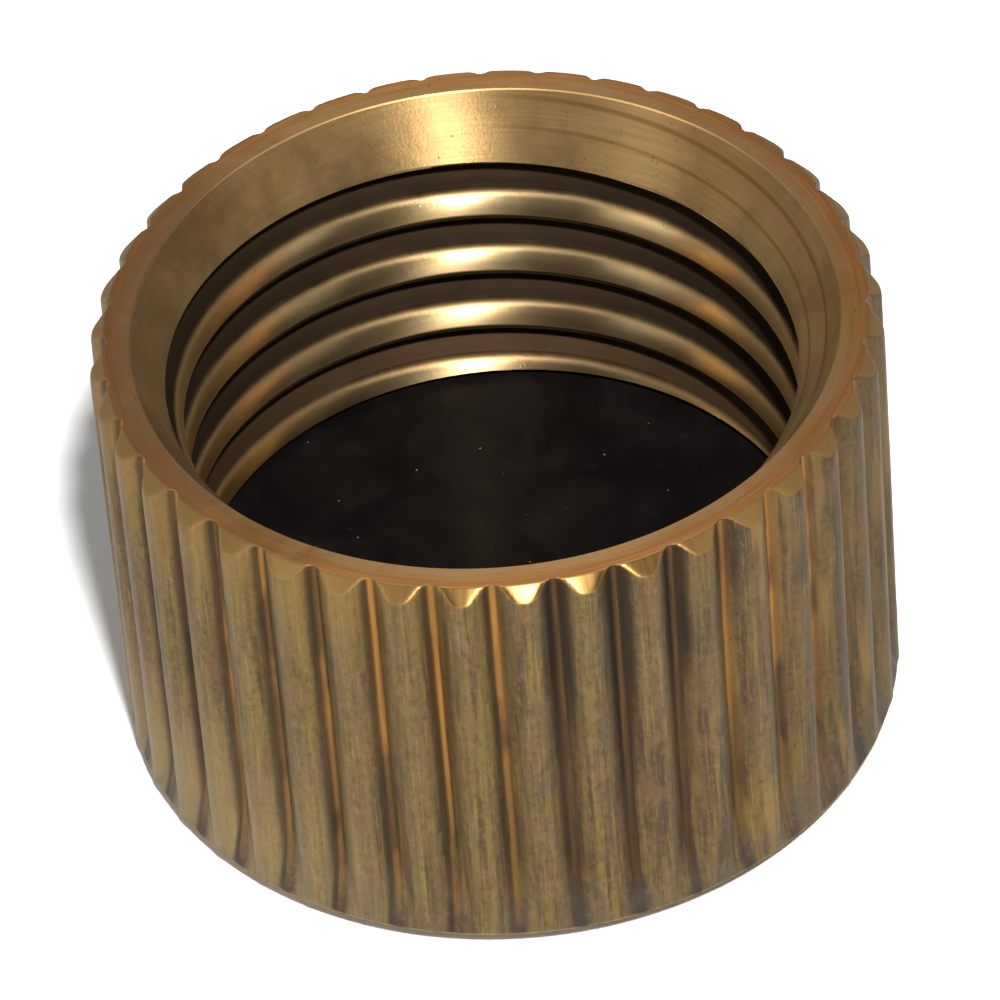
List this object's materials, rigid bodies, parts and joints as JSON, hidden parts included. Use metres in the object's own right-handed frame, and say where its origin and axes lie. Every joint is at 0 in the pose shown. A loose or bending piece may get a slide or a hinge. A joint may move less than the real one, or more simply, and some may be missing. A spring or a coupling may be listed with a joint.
{
  "type": "pipe cap",
  "caption": "Fluted brass screw cap that closes a threaded flare port or pipe end, with a captive rubber sealing disc behind the internal thread.",
  "frame": {"origin": "centre of the closed end's flat outer face, which is the bottom of the part", "axes": "+Z along the cap's axis, out of the threaded mouth; +X and +Y are radial"},
  "size_m": [0.0132, 0.0132, 0.0081],
  "materials": {
    "brass": "turned brass, satin inside and on the faces, tarnished on the fluted grip",
    "seal_rubber": "smooth black moulded rubber"
  },
  "bodies": {
    "cap": {"cap_body": "brass"},
    "seal": {"sealing_disc": "seal_rubber"}
  },
  "joints": [
    {"name": "seal_swivel", "type": "hinge", "parent": "cap", "child": "seal", "pos_m": [0, 0, 0.0012], "axis": [0, 0, 1], "continuous": true}
  ]
}
